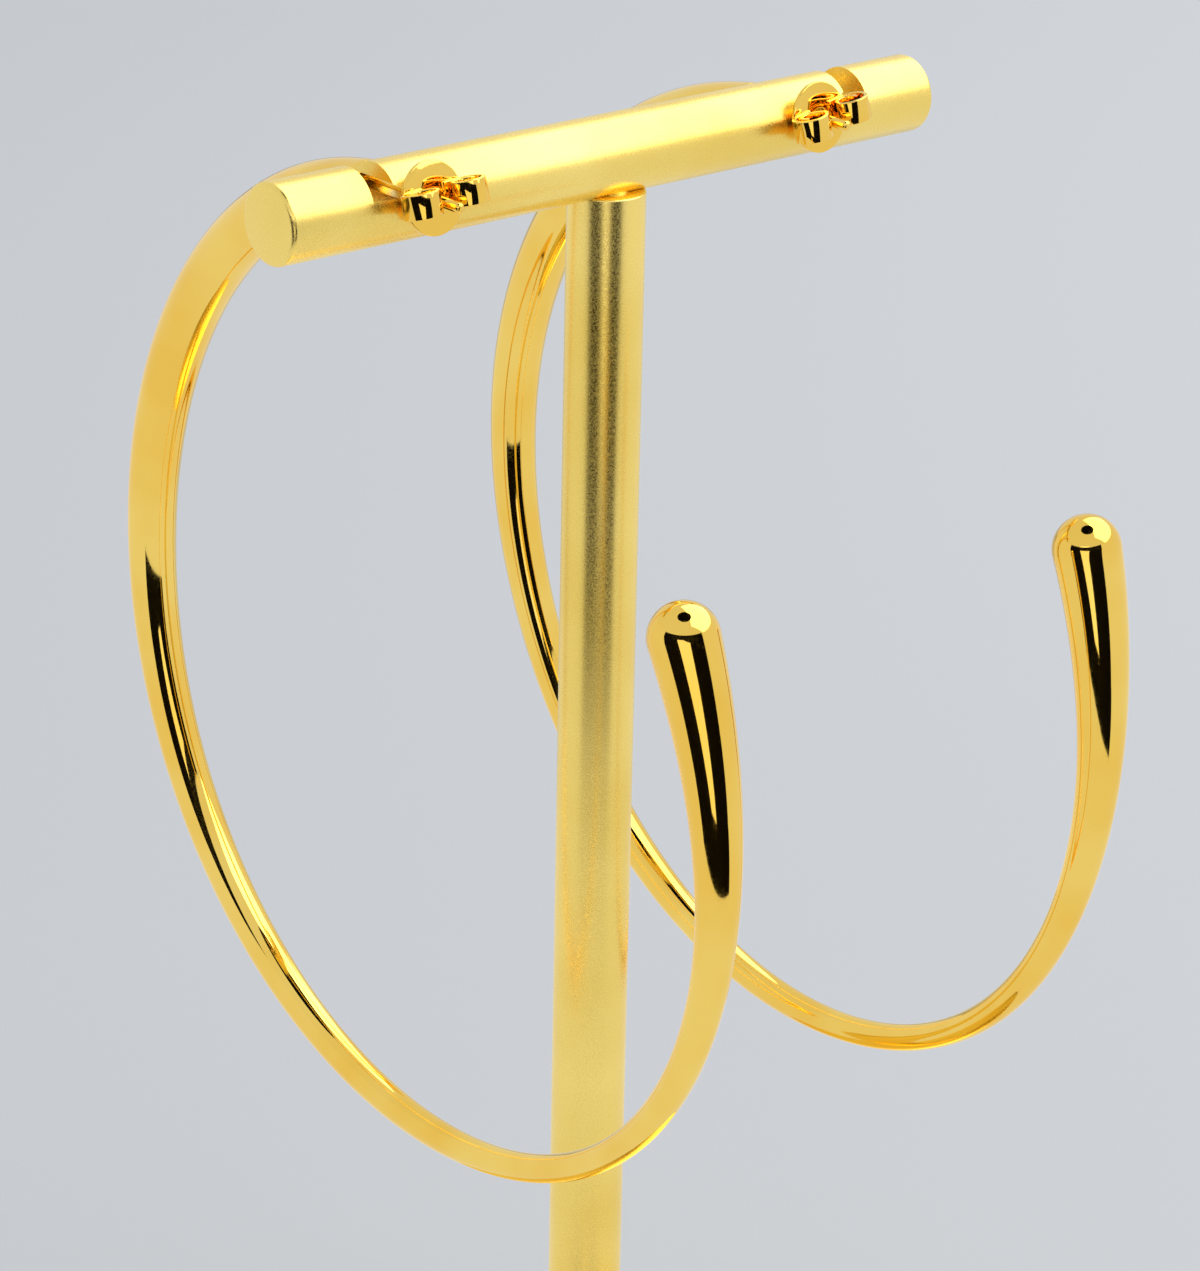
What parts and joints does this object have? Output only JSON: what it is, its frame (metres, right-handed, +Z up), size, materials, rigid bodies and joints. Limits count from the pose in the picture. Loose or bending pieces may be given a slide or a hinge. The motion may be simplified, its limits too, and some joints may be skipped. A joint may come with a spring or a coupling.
{
  "type": "pair of hoop earrings on a T-bar stand",
  "caption": "Two large open hoop earrings in tapered polished rod with ear posts and butterfly backs, hung from the slotted crossbar of a round T-bar stand.",
  "frame": {"origin": "middle of the round base's flat underside, on the upright's axis", "axes": "+Z up the upright, +X along the crossbar to the right-hand hoop as seen from the earrings' fronts, +Y towards the ear posts and butterfly backs"},
  "size_m": [0.064, 0.0726, 0.1274],
  "materials": {
    "satin_gold": "satin brushed gold-coloured brass",
    "polished_gold": "high-polish yellow gold"
  },
  "bodies": {
    "stand_and_hoops": {"stand_base": "satin_gold", "stand_upright": "satin_gold", "stand_crossbar": "satin_gold", "hoop_right": "polished_gold", "hoop_left": "polished_gold"},
    "back_right": {"butterfly_right": "polished_gold"},
    "back_left": {"butterfly_left": "polished_gold"}
  },
  "joints": [
    {"name": "back_right_slide", "type": "slide", "parent": "stand_and_hoops", "child": "back_right", "axis": [0, 1, 0], "range_m": [0, 0.003]},
    {"name": "back_left_slide", "type": "slide", "parent": "stand_and_hoops", "child": "back_left", "axis": [0, 1, 0], "range_m": [0, 0.003]}
  ]
}
